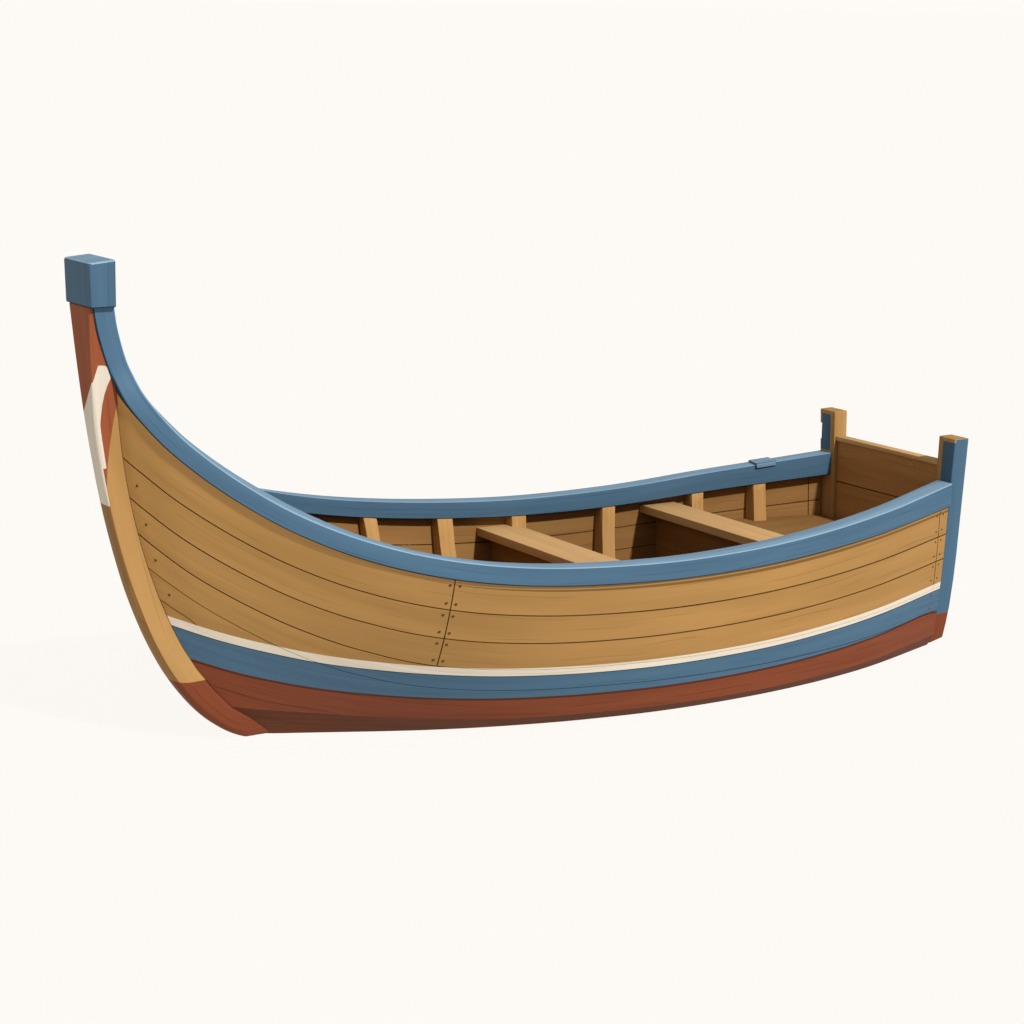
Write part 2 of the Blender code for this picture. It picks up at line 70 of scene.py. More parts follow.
RAIL_RISE = ((4.685, 0.071, 1.740), (4.721, 0.067, 1.830), (4.763, 0.084, 1.955), (4.786, 0.095, 2.058))
# Rail: place counted in rows of LINES, height, width, how far it stands proud of the planks
RAIL_SIZES = ((0, 0.126, 0.104, 0.016), (0.7, 0.112, 0.104, 0.017), (1.5, 0.103, 0.104, 0.018),
              (3, 0.093, 0.104, 0.018), (4.5, 0.089, 0.104, 0.018), (6.5, 0.085, 0.104, 0.018),
              (8.5, 0.083, 0.097, 0.018), (10, 0.083, 0.070, 0.018), (11.5, 0.091, 0.059, 0.018),
              (13, 0.094, 0.058, 0.018), (15, 0.101, 0.055, 0.018))
RAIL_STRAIGHTENS = (8.0, 12.0)
BULGE = ((0, 0.0, 0.008, 0.0), (2, 0.0, 0.020, 0.0), (5, 0.0, 0.030, 0.0), (7, 0.02, 0.020, -0.02),
         (9, 0.06, 0.010, -0.06), (12, 0.098, 0.000, -0.135))
# Seams as a share of the way from sheer to chine, at each station
SEAMS = (
    (0.211, 0.400, 0.616, 0.800), (0.211, 0.401, 0.618, 0.795), (0.214, 0.409, 0.622, 0.790),
    (0.219, 0.418, 0.624, 0.785), (0.219, 0.421, 0.623, 0.780), (0.211, 0.412, 0.613, 0.771),
    (0.194, 0.387, 0.585, 0.749), (0.174, 0.349, 0.530, 0.702), (0.153, 0.307, 0.464, 0.627),
    (0.141, 0.276, 0.413, 0.551), (0.139, 0.260, 0.380, 0.497), (0.149, 0.257, 0.362, 0.467),
    (0.162, 0.258, 0.350, 0.447),
)
# Stem from the head down: front x, z, depth, half width of the nose, depth of its bevelled edges, half width
# behind them, half width at the back
STEM = (
    (4.803, 2.066, 0.102, 0.104, 0.004, 0.109, 0.086),
    (4.785, 1.780, 0.128, 0.072, 0.004, 0.077, 0.070),
    (4.758, 1.499, 0.160, 0.047, 0.006, 0.053, 0.064),
    (4.706, 1.190, 0.180, 0.042, 0.004, 0.050, 0.056),
    (4.646, 0.930, 0.180, 0.038, 0.006, 0.052, 0.053),
    (4.581, 0.713, 0.180, 0.034, 0.012, 0.055, 0.049),
    (4.493, 0.497, 0.185, 0.030, 0.013, 0.058, 0.041),
    (4.387, 0.309, 0.190, 0.028, 0.017, 0.058, 0.040),
    (4.250, 0.141, 0.200, 0.026, 0.021, 0.056, 0.047),
    (4.108, 0.034, 0.200, 0.024, 0.019, 0.052, 0.056),
    (3.962, -0.012, 0.180, 0.030, 0.020, 0.046, 0.065),
    (3.780, 0.000, 0.140, 0.040, 0.005, 0.045, 0.050),
)
# Paint lines of the hull: station, height
WHITE_TOP = ((-0.10, 0.381), (0.05, 0.373), (0.25, 0.3615), (0.60, 0.343), (1.00, 0.324), (1.40, 0.309),
             (1.80, 0.303), (2.20, 0.307), (2.60, 0.323), (3.00, 0.353), (3.30, 0.387), (3.60, 0.431),
             (3.85, 0.476), (4.10, 0.537), (4.25, 0.580), (4.40, 0.632), (4.55, 0.690), (4.70, 0.755))
WHITE_HEIGHT = ((0.0, 0.038), (1.8, 0.038), (3.0, 0.042), (3.9, 0.044), (4.25, 0.041), (4.5, 0.039))
BLUE_FOOT = ((-0.10, 0.184), (0.05, 0.195), (0.12, 0.208), (0.25, 0.213), (0.60, 0.192), (1.00, 0.174),
             (1.40, 0.162), (1.80, 0.156), (2.20, 0.157), (2.60, 0.166), (3.00, 0.186), (3.30, 0.211),
             (3.60, 0.247), (3.85, 0.290), (4.10, 0.352), (4.25, 0.401), (4.38, 0.448), (4.60, 0.530))
# Brushed dark line under the white, a painted shadow below the rail, and a strip of darker red under the blue as
# painted shade
NAVY_LINE = 0.0045
RAIL_SHADE = (0.013, 0.031)
RED_SHADOW = 0.012
# Paint on the stem: station and height round the white flash on its sides, and height and station of the
# rust red's after edge
FLASH_SIDE = ((4.7502, 1.815), (4.7381, 1.808), (4.7151, 1.8055), (4.700, 1.790), (4.6893, 1.7527),
              (4.7064, 1.7187), (4.7214, 1.677), (4.7316, 1.6266), (4.738, 1.5586), (4.7391, 1.4815),
              (4.7368, 1.4385), (4.727, 1.3434), (4.7179, 1.2646), (4.7062, 1.1913), (4.702, 1.174),
              (4.760, 1.174), (4.820, 1.500), (4.820, 1.739), (4.7768, 1.7365), (4.7652, 1.7697))
# Height of the flash's upper edge on the stem's front, and how much it drops across it
FLASH_FRONT = dict(z=1.738, slope=1.35)
STEM_RED_AFT = ((1.10, 4.690), (1.172, 4.700), (1.2295, 4.7114), (1.2903, 4.7093), (1.3587, 4.7049),
                (1.4268, 4.6972), (1.5032, 4.6864), (1.5754, 4.6741), (1.6382, 4.6601), (1.6678, 4.6559),
                (1.750, 4.620), (2.100, 4.550))
STEM_PAINT_LOW = 1.174
STEM_BOOT = dict(z=0.312, falls=0.20)

# Fastenings on the port side: station, height. The starboard side mirrors them
BOW_NAILS = ((4.594, 1.268), (4.553, 1.088), (4.507, 0.919), (4.443, 0.752))
MIDDLE_NAILS = ((3.427, 0.835), (3.378, 0.826), (3.422, 0.743), (3.374, 0.733), (3.420, 0.681), (3.371, 0.670),
                (3.411, 0.591), (3.362, 0.580), (3.402, 0.528), (3.355, 0.518), (3.389, 0.436), (3.342, 0.426))
STERN_NAILS = ((0.196, 0.750), (0.138, 0.752), (0.194, 0.663), (0.140, 0.669), (0.194, 0.608), (0.140, 0.611),
               (0.194, 0.529), (0.139, 0.531), (0.193, 0.471), (0.139, 0.475), (0.198, 0.395), (0.140, 0.399),
               (0.180, 0.307), (0.182, 0.235), (0.196, 0.193))
NAIL_RADIUS = dict(bow=0.0070, middle=0.0080, stern=0.0060)
NAIL_RISE = 0.0028
# Short seams at the bow, where narrow planks run out: station, height
BOW_SEAMS = (((4.466, 0.724), (4.425, 0.688), (4.369, 0.643), (4.333, 0.608)),
             ((4.223, 0.287), (3.970, 0.196), (3.708, 0.135)),
             ((4.063, 0.135), (3.847, 0.071), (3.671, 0.042)))
SEAM_EASE = 0.0032
BUTT_EASE = 0.0024
END_EASE = 0.0045
BUTT_GAP = 0.0006

# Stern posts and the head, as the solids have them
POST_TOP = 1.155
POST_INSIDE = (0.385, 0.420)
POST_BORDER = dict(side=0.036, top=0.022, rim=0.016)
POST_RED = dict(z=0.187, falls=0.12)
POST_RAIL = 0.930
NOTCH_HIGH = 1.075
HEAD = dict(aft=4.686, front=4.812, half=0.139, high=2.273, falls=0.011, lean=0.006, side=0.012, top=0.022)


def linear(code):
    """Linear colour of an sRGB hex value."""
    parts = [int(code[i:i + 2], 16) / 255 for i in (1, 3, 5)]
    return tuple(p / 12.92 if p <= 0.04045 else ((p + 0.055) / 1.055) ** 2.4 for p in parts) + (1.0,)


def along(rows, place):
    """Smooth curve through the rows, read at a place counted in rows."""
    rows = np.asarray(rows, float)
    last = len(rows) - 1
    low = int(min(max(np.floor(place), 0), last - 1))
    share = place - low
    before, after = rows[max(low - 1, 0)], rows[min(low + 2, last)]
    start, end = rows[low], rows[low + 1]
    leave = (end - before) / (2 if low > 0 else 1)
    arrive = (after - start) / (2 if low + 2 <= last else 1)
    s2, s3 = share ** 2, share ** 3
    return ((2 * s3 - 3 * s2 + 1) * start + (s3 - 2 * s2 + share) * leave
            + (3 * s2 - 2 * s3) * end + (s3 - s2) * arrive)


def smooth_table(rows):
    """The rows' smooth curve as a function of their first column."""
    dense = np.array([along(rows, p) for p in np.linspace(0, len(rows) - 1, 12 * len(rows))])
    return lambda x: np.interp(x, dense[:, 0], dense[:, 1])


def at_station(table, place):
    keys = [row[0] for row in table]
    return np.array([np.interp(place, keys, [row[c] for row in table]) for c in range(1, len(table[0]))])


def side_point(place, share):
    """Point of the planking's outer face: share 0 is the sheer, 1 the chine, 2 the bottom's edge."""
    row = along(LINES, place)
    sheer, chine, edge = row[0:3], row[3:6], np.array((row[6], row[7], 0.0))
    if share > 1:
        return chine + (edge - chine) * (share - 1)
    middle = (sheer + chine) / 2 + at_station(BULGE, place)
    return (sheer * (1 - share) * (1 - 2 * share) + middle * 4 * share * (1 - share)
            + chine * share * (2 * share - 1))


def side_normal(place, share):
    step = 0.02
    low, high = max(place - step, 0), min(place + step, len(LINES) - 1)
    lower_limit = 1 if share > 1 else 0
    up, down = max(share - step, lower_limit), min(share + step, 2 if share > 1 else 1)
    forward = side_point(high, share) - side_point(low, share)
    drop = side_point(place, down) - side_point(place, up)
    normal = np.cross(forward, drop)
    return normal / np.linalg.norm(normal)


def inner_point(place, share, depth):
    """The same point moved inboard by depth. Top edges stay level and the bottom stays flat."""
    outer = side_point(place, share)
    if share == 0:
        normal = side_normal(place, 0)
        level = np.array((normal[0], normal[1], 0.0))
        level /= np.linalg.norm(level)
        return outer - level * depth / np.dot(level, normal)
    if share == 1:
        normal = side_normal(place, 1) + side_normal(place, 1.5)
        normal /= np.linalg.norm(normal)
        return outer - normal * depth / np.dot(normal, side_normal(place, 1))
    if share == 2:
        normal = side_normal(place, 2)
        level = np.array((normal[0], normal[1], 0.0))
        level /= np.linalg.norm(level)
        return outer + np.array((0, 0, depth)) - level * depth * 0.45
    return outer - side_normal(place, share) * depth


def seam_shares(place):
    return [0.0, *along(SEAMS, place), 1.0, 2.0]


# Node trees. Every piece but the nails has a map named "grain": metres along the grain, metres across it

def add(tree, kind, settings, output=0):
    """Adds a node. Keys in small letters are its own properties, others its sockets, given a value or a link."""
    node = tree.nodes.new(kind)
    for key, value in settings.items():
        if isinstance(key, str) and key[0].islower():
            setattr(node, key, value)
        elif isinstance(value, bpy.types.NodeSocket):
            tree.links.new(value, node.inputs[key])
        else:
            node.inputs[key].default_value = value
    return node.outputs[output]


def cloud(tree, length, width, seed, detail=1.0):
    """Noise whose cells are length metres long along the grain and width across it."""
    where = add(tree, "ShaderNodeUVMap", {"uv_map": "grain"})
    sized = add(tree, "ShaderNodeMapping", {"Vector": where, "Scale": (1 / length, 1 / width, 1.0),
                                            "Location": (seed, seed, seed)})
    return add(tree, "ShaderNodeTexNoise", {"Vector": sized, "Scale": 1.0, "Detail": detail, "Roughness": 0.5})


def growth_lines(tree, spacing, sway, seed, cover):
    """Share that is 1 on the dark lines between a timber's growth layers, which sway and break off."""
    where = add(tree, "ShaderNodeUVMap", {"uv_map": "grain"})
    across = add(tree, "ShaderNodeSeparateXYZ", {0: where}, 1)
    drift = add(tree, "ShaderNodeMath", {"operation": "MULTIPLY", 0: cloud(tree, 0.80, 0.16, seed), 1: sway})
    layers = add(tree, "ShaderNodeMath", {"operation": "MULTIPLY_ADD", 0: across, 1: 1 / spacing, 2: drift})
    fold = add(tree, "ShaderNodeMath", {"operation": "PINGPONG", 0: layers, 1: 0.5})
    line = add(tree, "ShaderNodeMapRange", {"Value": fold, "From Min": 0.41, "From Max": 0.48})
    kept = add(tree, "ShaderNodeMapRange", {"Value": cloud(tree, 0.60, 0.045, seed + 20.0), "From Min": cover,
                                            "From Max": cover + 0.07})
    return add(tree, "ShaderNodeMath", {"operation": "MULTIPLY", 0: line, 1: kept})


def sawn(tree, light, dark, line, spacing=0.036, patch=0.10, strength=0.50):
    """Sawn and oiled timber: broad patches of two tones, bold growth lines, and finer and fainter ones."""
    share = add(tree, "ShaderNodeMapRange", {"Value": cloud(tree, 1.1, patch, 7.0, 2.0), "From Min": 0.36,
                                             "From Max": 0.66})
    colour = add(tree, "ShaderNodeMix", {"data_type": "RGBA", 0: share, 6: light, 7: dark}, 2)
    bold = growth_lines(tree, spacing, 2.4, 3.0, 0.52)
    fine = growth_lines(tree, spacing * 0.45, 4.0, 11.0, 0.52)
    for lines, most in ((bold, strength), (fine, strength * 0.45)):
        amount = add(tree, "ShaderNodeMath", {"operation": "MULTIPLY", 0: lines, 1: most})
        colour = add(tree, "ShaderNodeMix", {"data_type": "RGBA", 0: amount, 6: colour, 7: line}, 2)
    return colour, bold


def brushed(tree, main, deep, line, spacing=0.030, strength=0.55):
    """Oil paint brushed along the grain: cloudy, with the grain showing as long faint lines."""
    share = add(tree, "ShaderNodeMapRange", {"Value": cloud(tree, 0.8, 0.05, 5.0, 2.0), "From Min": 0.35,
                                             "From Max": 0.70})
    colour = add(tree, "ShaderNodeMix", {"data_type": "RGBA", 0: share, 6: main, 7: deep}, 2)
    lines = growth_lines(tree, spacing, 2.0, 9.0, 0.50)
    amount = add(tree, "ShaderNodeMath", {"operation": "MULTIPLY", 0: lines, 1: strength})
    return add(tree, "ShaderNodeMix", {"data_type": "RGBA", 0: amount, 6: colour, 7: line}, 2), lines


def laid_over(tree, name, under, over, at=0.0):
    """The colour over where the marked distance is above at, and the colour under below it, cut in sharply."""
    distance = add(tree, "ShaderNodeAttribute", {"attribute_name": name}, 2)
    share = add(tree, "ShaderNodeMapRange", {"Value": distance, "From Min": at - 0.0006, "From Max": at + 0.0006})
    return add(tree, "ShaderNodeMix", {"data_type": "RGBA", 0: share, 6: under, 7: over}, 2)


def painted_light_at_bow(tree, colour, most):
    """The colour, up to most times as bright over the last metre and a half: painted light for the bow's
    forward-facing sides, which the lamp lights less.
    """
    where = add(tree, "ShaderNodeTexCoord", {}, 3)
    x = add(tree, "ShaderNodeSeparateXYZ", {0: where})
    gain = add(tree, "ShaderNodeMapRange", {"Value": x, "From Min": 0.9, "From Max": 2.1, "To Min": 1.0,
                                            "To Max": most})
    return add(tree, "ShaderNodeVectorMath", {"operation": "SCALE", 0: colour, "Scale": gain})


def side_bands(tree, timber, white, blue, red, line, shadow):
    """Colours of the hull's side from the top down, changing at the heights marked on the mesh; shadow is a darker
    red strip under the blue, painted shade.
    """
    colour = laid_over(tree, "above_white", white, timber)
    colour = laid_over(tree, "above_blue", line, colour)
    colour = laid_over(tree, "above_blue", blue, colour, -NAVY_LINE)
    colour = laid_over(tree, "above_red", shadow, colour)
    return laid_over(tree, "above_red", red, colour, -RED_SHADOW)


def finish(name, draw, roughness, depth=0.0006):
    """A material from a function that draws its colour and its relief, depth metres deep."""
    material = bpy.data.materials.new(name)
    material.use_nodes = True
    tree = material.node_tree
    shader = tree.nodes["Principled BSDF"]
    colour, height = draw(tree)
    relief = add(tree, "ShaderNodeBump", {"Strength": 0.35, "Distance": depth, "Height": height, "invert": True})
    tree.links.new(colour, shader.inputs["Base Color"])
    tree.links.new(relief, shader.inputs["Normal"])
    shader.inputs["Roughness"].default_value = roughness
    shader.inputs["Specular IOR Level"].default_value = 0.08
    return material


# Tones of each finish: two broad ones and the colour of its lines
TAN = dict(light=linear("#A07845"), dark=linear("#95703F"), line=linear("#7C5829"))
# Painted shadow in the strip under the rail
PAINTED_RAIL_SHADOW = linear("#6E5029")
BARE = dict(light=linear("#AA8350"), dark=linear("#9F7846"), line=linear("#86602F"))
CHEEK = dict(light=linear("#AA8350"), dark=linear("#9F7846"), line=linear("#86602F"))
STEM_SIDE = dict(light=linear("#AA8350"), dark=linear("#9F7846"), line=linear("#86602F"))
RIB = dict(light=linear("#B88D57"), dark=linear("#AE834D"), line=linear("#8F6735"))
SEAT = dict(light=linear("#C59E6C"), dark=linear("#BC9361"), line=linear("#9A7241"))
SHADED = dict(light=linear("#8E683B"), dark=linear("#835D33"), line=linear("#5E4020"))
SHADED_PLATFORM = dict(light=linear("#8E683B"), dark=linear("#835D33"), line=linear("#5E4020"))
STERN_WOOD_LIT = dict(light=linear("#B5834D"), dark=linear("#A87843"), line=linear("#7A5328"))
# Darker timber for the stem's front face: painted shade
SHADED_FRONT_WOOD = dict(light=linear("#91693B"), dark=linear("#876133"), line=linear("#6C4A22"))
BLUE = dict(main=linear("#456176"), deep=linear("#405B6F"), line=linear("#2C4356"))
BAND_BLUE = dict(main=linear("#456176"), deep=linear("#405B6F"), line=linear("#2C4356"))
INNER_BLUE = dict(main=linear("#456176"), deep=linear("#405B6F"), line=linear("#2C4356"))
HEAD_BLUE = dict(main=linear("#456176"), deep=linear("#405B6F"), line=linear("#2C4356"))
HEAD_FRONT = dict(main=linear("#456176"), deep=linear("#405B6F"), line=linear("#2C4356"))
LIT_TOP_BLUE = dict(main=linear("#7A94A8"), deep=linear("#6B879C"), line=linear("#54718A"))
WHITE = dict(main=linear("#CEC3B3"), deep=linear("#C6B9A6"), line=linear("#AB9C86"))
FLASH = dict(main=linear("#CEC3B3"), deep=linear("#C6B9A6"), line=linear("#AB9C86"))
FRONT_FLASH = dict(main=linear("#CEC3B3"), deep=linear("#C6B9A6"), line=linear("#AB9C86"))
RED = dict(main=linear("#763D26"), deep=linear("#6E3822"), line=linear("#4A2212"))
BOOT = dict(main=linear("#763D26"), deep=linear("#6E3822"), line=linear("#4A2212"))
FRONT_BOOT = dict(main=linear("#763D26"), deep=linear("#6E3822"), line=linear("#4A2212"))
# Red below the turn of the side, darker as painted shade for faces turned down
SHADED_BOTTOM_RED = dict(main=linear("#5F3522"), deep=linear("#56301E"), line=linear("#3B1E10"))
RUST = dict(main=linear("#8D4D30"), deep=linear("#85462B"), line=linear("#6A3520"))
FRONT_RUST = dict(main=linear("#8D4D30"), deep=linear("#85462B"), line=linear("#6A3520"))
NAVY = linear("#22384A")
# Darker red strip just under the blue band: painted shade
SHADE_STRIP_RED = linear("#4C2717")


def draw_hull(tree):
    timber, lines = sawn(tree, **TAN)
    # Painted shadow laid in a strip under the rail
    timber = laid_over(tree, "painted_rail_shadow", timber, PAINTED_RAIL_SHADOW, 0.001)
    paints = [brushed(tree, **tones)[0] for tones in (WHITE, BAND_BLUE, RED)]
    return painted_light_at_bow(tree, side_bands(tree, timber, *paints, NAVY, SHADE_STRIP_RED), 1.30), lines


def draw_seam(tree):
    pitch, lines = brushed(tree, linear("#5A3A16"), linear("#4A2E10"), linear("#3A230B"))
    return side_bands(tree, pitch, linear("#BFB29C"), linear("#344B5D"), linear("#532817"), NAVY, SHADE_STRIP_RED), lines


def draw_stem(tree):
    side, lines = sawn(tree, **STEM_SIDE)
    # Painted shade: the front face takes darker timber, and each coat a shaded copy with the side's tones
    bare = laid_over(tree, "in_front", side, sawn(tree, **SHADED_FRONT_WOOD)[0])
    coats = []
    for tones, front_tones in ((RUST, FRONT_RUST), (FLASH, FRONT_FLASH), (BOOT, FRONT_BOOT)):
        coats.append(laid_over(tree, "in_front", brushed(tree, **tones)[0], brushed(tree, **front_tones)[0]))
    colour = laid_over(tree, "rust", bare, coats[0])
    colour = laid_over(tree, "flash", colour, coats[1])
    return laid_over(tree, "above_red", coats[2], colour), lines


def draw_rail(tree):
    colour, lines = brushed(tree, **BLUE)
    return painted_light_at_bow(tree, colour, 1.15), lines


def draw_iron(tree):
    """Scale pitted at a few millimetres, drawn at twice that so that it shows."""
    where = add(tree, "ShaderNodeTexCoord", {}, 3)
    pits = add(tree, "ShaderNodeTexNoise", {"Vector": where, "Scale": 1 / 0.006, "Detail": 2.0})
    return add(tree, "ShaderNodeMix", {"data_type": "RGBA", 0: pits, 6: linear("#6A4826"), 7: linear("#3E2812")}, 2), pits


# Larch planks, oiled and darkened, with white, blue and red linseed paint cut in by brush: satin, warm. Brighter
# towards the bow as painted light, with a painted shadow under the rail and a strip of painted shade under the blue
HULL = finish("oiled larch planking with painted bands", draw_hull, 0.60)
# Pitch run into the seams and painted over with the bands: dark, a little glossier than the wood
SEAM = finish("pitch in a painted seam", draw_seam, 0.55)
# Oak stem, oiled, with a rust red coat and a white flash over it; its front face darker as painted shade
STEM_COAT = finish("oiled oak stem with painted flash", draw_stem, 0.60)
# Larch inside the boat, oiled: dull, and darker than the outside as painted shade
LARCH_INSIDE = finish("larch with painted shade inside", lambda tree: sawn(tree, **SHADED), 0.78)
# Platform boards, darker as painted shade
LARCH_FLOOR = finish("platform larch with painted shade", lambda tree: sawn(tree, **SHADED_PLATFORM), 0.78)
# The transom's inner face, paler as painted light for a face turned away from the lamp
LARCH_STERN = finish("larch with painted light", lambda tree: sawn(tree, **STERN_WOOD_LIT), 0.75)
# Pine seats, scrubbed bare
PINE = finish("scrubbed pine", lambda tree: sawn(tree, spacing=0.024, patch=0.06, **SEAT), 0.70)
# Sawn oak of the frames, bare
OAK = finish("sawn oak", lambda tree: sawn(tree, spacing=0.022, patch=0.04, **RIB), 0.72)
# Bare top and forward border of the stern posts
POST_OAK = finish("worn oak", lambda tree: sawn(tree, spacing=0.020, patch=0.04, **BARE), 0.72)
# The posts' inboard faces: a lit copy of the bare oak for painted light, with the same tones as the bare oak
POST_CHEEK = finish("oak, lit copy for inboard faces", lambda tree: sawn(tree, spacing=0.020, patch=0.04, **CHEEK), 0.72)
# Blue linseed oil paint: satin, with the grain showing through, and paler towards the bow as painted light
BLUE_COAT = finish("blue linseed oil paint", draw_rail, 0.55)
# The rails' inner faces: a lit copy of the blue for painted light, with the same tones as the outer faces
BLUE_INSIDE = finish("blue paint, lit copy for inner faces", lambda tree: brushed(tree, **INNER_BLUE), 0.55)
# The head's sides, and its front in a shaded copy of the blue for painted shade, with the same tones as the sides
HEAD_COAT = finish("blue paint on end grain", lambda tree: brushed(tree, **HEAD_BLUE), 0.55)
HEAD_FACE = finish("blue paint, shaded copy for the head's front", lambda tree: brushed(tree, **HEAD_FRONT), 0.55)
# The same paint on faces turned to the sky, paler as painted light
BLUE_TOP = finish("blue paint with painted light on top faces",
                  lambda tree: brushed(tree, spacing=0.016, strength=0.8, **LIT_TOP_BLUE), 0.65)
# Pale blue on upper edges: a painted highlight
BLUE_HIGHLIGHT = finish("blue paint with a painted highlight",
                   lambda tree: brushed(tree, linear("#86A1B5"), linear("#7C98AC"), linear("#6C899E")), 0.45)
# Dark navy on lower edges and undersides: painted shade
BLUE_SHADE_LINE = finish("blue paint with painted shade",
                   lambda tree: brushed(tree, NAVY, linear("#1E3040"), linear("#182838")), 0.60)
# Bottom paint below the turn of the side, darker as painted shade
BOTTOM_COAT = finish("red bottom paint with painted shade", lambda tree: brushed(tree, **SHADED_BOTTOM_RED), 0.65)
RED_COAT = finish("red bottom paint", lambda tree: brushed(tree, **RED), 0.62)
# Forged nail heads, rusted dark brown
IRON = finish("rusted iron nail", draw_iron, 0.75, 0.0003)


# Pieces

def sharp_edges(shape, degrees):
    limit = math.radians(degrees)
    return [e for e in shape.edges if e.is_manifold and e.calc_face_angle() > limit]


def soften(shape, edges, width, steps, material=None):
    made = bmesh.ops.bevel(shape, geom=edges, offset=width, offset_type="OFFSET", segments=steps, profile=0.5,
                           affect="EDGES", material=-1, clamp_overlap=True)
    if material is not None:
        for face in made["faces"]:
            face.material_index = material


def piece(name, shape, materials, nodes=(), crease=28.0):
    """Turns the shape into a piece that rides on the boat and stands for its solids."""
    mesh = bpy.data.meshes.new(name)
    shape.to_mesh(mesh)
    shape.free()
    made = bpy.data.objects.new(name, mesh)
    bpy.context.scene.collection.objects.link(made)
    for material in materials:
        mesh.materials.append(material)
    mesh.shade_smooth()
    mesh.set_sharp_from_angle(angle=math.radians(crease))
    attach(made, "root")
    if nodes:
        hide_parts(*nodes)
    return made


def mark(mesh, name, values):
    """Keeps one number per vertex, for the finish to read."""
    attribute = mesh.attributes.new(name, "FLOAT", "POINT")
    attribute.data.foreach_set("value", np.asarray(values, np.float32))


white_top, blue_foot = smooth_table(WHITE_TOP), smooth_table(BLUE_FOOT)


def mark_hull_paint(made):
    """Height of each vertex above the three paint lines."""
    co = np.array([v.co for v in made.data.vertices])
    x, z = co[:, 0] - STERN, co[:, 2]
    above = z - white_top(x)
    mark(made.data, "above_white", above)
    mark(made.data, "above_blue", above + np.interp(x, *np.transpose(WHITE_HEIGHT)))
    mark(made.data, "above_red", z - blue_foot(x))


def tube(rows, sides=None):
    """Closed bar through rows of ring points: a sheet rolled up across, with its ends filled.

    A vertex's corner is its place in the ring, and sides gives each side of the ring its finish.
    """
    count, ring = len(rows), len(rows[0])
    shape = bmesh.new()
    grain = shape.loops.layers.uv.new("grain")
    corner = shape.verts.layers.int.new("corner")
    bmesh.ops.create_grid(shape, x_segments=count - 1, y_segments=ring, size=0.5)
    middle = np.array(rows).mean(axis=1)
    run = np.concatenate(([0], np.cumsum(np.linalg.norm(np.diff(middle, axis=0), axis=1))))
    places = {v: (round((v.co.x + 0.5) * (count - 1)), round((v.co.y + 0.5) * ring)) for v in shape.verts}
    girth = []
    for row in rows:
        steps = [np.linalg.norm(np.subtract(row[(k + 1) % ring], row[k])) for k in range(ring)]
        girth.append(np.concatenate(([0], np.cumsum(steps))))
    for face in shape.faces:
        if sides:
            face.material_index = sides[min(places[v][1] for v in face.verts)]
        for loop in face.loops:
            i, k = places[loop.vert]
            loop[grain].uv = (run[i], girth[i][k])
    for vert, (i, k) in places.items():
        x, y, z = rows[i][k % ring]
        vert[corner] = k % ring
        vert.co = (x + STERN, y, z)
    bmesh.ops.remove_doubles(shape, verts=list(shape.verts), dist=1e-5)
    bmesh.ops.holes_fill(shape, edges=[e for e in shape.edges if e.is_boundary], sides=0)
    bmesh.ops.recalc_face_normals(shape, faces=list(shape.faces))
    return shape


def mirror_y(shape):
    for vert in shape.verts:
        vert.co.y = -vert.co.y
    bmesh.ops.recalc_face_normals(shape, faces=list(shape.faces))


def depth_within(outline, x, z):
    """How far each point lies inside a closed outline, negative outside it."""
    points, corners = np.stack((x, z), axis=1), np.array(outline)
    nearest, inside = np.full(len(x), 9.0), np.zeros(len(x), bool)
    for one, two in zip(corners, np.roll(corners, -1, axis=0)):
        run = two - one
        share = np.clip((points - one) @ run / (run @ run), 0, 1)
        nearest = np.minimum(nearest, np.linalg.norm(points - one - share[:, None] * run, axis=1))
        if one[1] != two[1]:
            crosses = (one[1] > z) != (two[1] > z)
            inside ^= crosses & (x < one[0] + (z - one[1]) / (two[1] - one[1]) * run[0])
    return np.where(inside, nearest, -nearest)


# Stem

STEM_CURVE = np.array([along(STEM, p) for p in np.linspace(0, len(STEM) - 1, 240)])


def stem_rings():
    """Rings of the stem from the head down: eight steps along each side, two across, one on each bevel."""
    rings = []
    last = len(STEM) - 1
    for place in np.linspace(0, last, 20 * last + 1):
        x, z, depth, front, bevel, half, back = along(STEM, place)
        ahead, behind = along(STEM, min(place + 0.05, last)), along(STEM, max(place - 0.05, 0))
        run = np.array((ahead[0] - behind[0], ahead[1] - behind[1]))
        run /= np.linalg.norm(run)
        inward = np.array((run[1], -run[0]))
        level = min(max(1.0 - place, 0.0), 1.0)
        inward = inward * (1 - level) + np.array((-1.0, 0.0)) * level
        inward /= np.linalg.norm(inward)
        nose = np.array((x, max(z, 0)))
        edge, tail = nose + inward * bevel, nose + inward * depth
        corners = [(nose[0], front, nose[1]), (edge[0], half, edge[1]), (tail[0], back, tail[1]),
                   (tail[0], -back, tail[1]), (edge[0], -half, edge[1]), (nose[0], -front, nose[1])]
        ring = []
        for k, steps in enumerate((1, 8, 2, 8, 1, 2)):
            one, two = np.array(corners[k]), np.array(corners[(k + 1) % 6])
            ring += [one + (two - one) * s / steps for s in range(steps)]
        rings.append(ring)
    return rings


